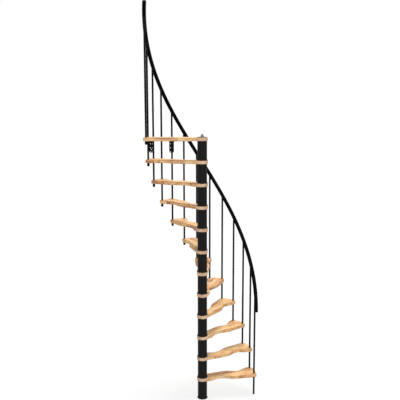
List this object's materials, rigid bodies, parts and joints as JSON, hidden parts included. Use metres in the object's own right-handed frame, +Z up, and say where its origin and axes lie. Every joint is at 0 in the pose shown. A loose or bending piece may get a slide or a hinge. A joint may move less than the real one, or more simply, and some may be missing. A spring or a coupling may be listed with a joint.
{
  "type": "spiral staircase",
  "caption": "Space-saving spiral staircase: alternating wavy wood treads stacked on a dark steel pole, thin black balusters and a helical handrail.",
  "frame": {"origin": "on the floor at the pole's axis, in the middle of the foot's flat underside", "axes": "+Z up along the pole; the landing tread points along -X and its back edge faces -Y; the stair climbs counterclockwise seen from above"},
  "size_m": [1.19, 0.7589, 4.1531],
  "materials": {
    "tread_wood": "satin lacquer",
    "pole_paint": "matt powder coat",
    "rail_paint": "satin paint",
    "bracket_paint": "matt paint",
    "bare_steel": "zinc plated"
  },
  "bodies": {
    "root": {"base_foot": "pole_paint", "tie_rod": "bare_steel", "pole_washer": "pole_paint", "pole_nut": "bare_steel", "landing_tread": "tread_wood", "landing_brackets": "bracket_paint", "baluster_collars": "rail_paint", "baluster_knobs": "rail_paint", "handrail": "rail_paint", "pole_tube_01": "pole_paint", "pole_tube_02": "pole_paint", "pole_tube_03": "pole_paint", "pole_tube_04": "pole_paint", "pole_tube_05": "pole_paint", "pole_tube_06": "pole_paint", "pole_tube_07": "pole_paint", "pole_tube_08": "pole_paint", "pole_tube_09": "pole_paint", "pole_tube_10": "pole_paint", "pole_tube_11": "pole_paint", "pole_tube_12": "pole_paint", "tread_01": "tread_wood", "tread_02": "tread_wood", "tread_03": "tread_wood", "tread_04": "tread_wood", "tread_05": "tread_wood", "tread_06": "tread_wood", "tread_07": "tread_wood", "tread_08": "tread_wood", "tread_09": "tread_wood", "tread_10": "tread_wood", "tread_11": "tread_wood", "baluster_00": "rail_paint", "baluster_01": "rail_paint", "baluster_02": "rail_paint", "baluster_03": "rail_paint", "baluster_04": "rail_paint", "baluster_05": "rail_paint", "baluster_06": "rail_paint", "baluster_07": "rail_paint", "baluster_08": "rail_paint", "baluster_09": "rail_paint", "baluster_10": "rail_paint", "baluster_11": "rail_paint", "baluster_12": "rail_paint"}
  },
  "joints": []
}
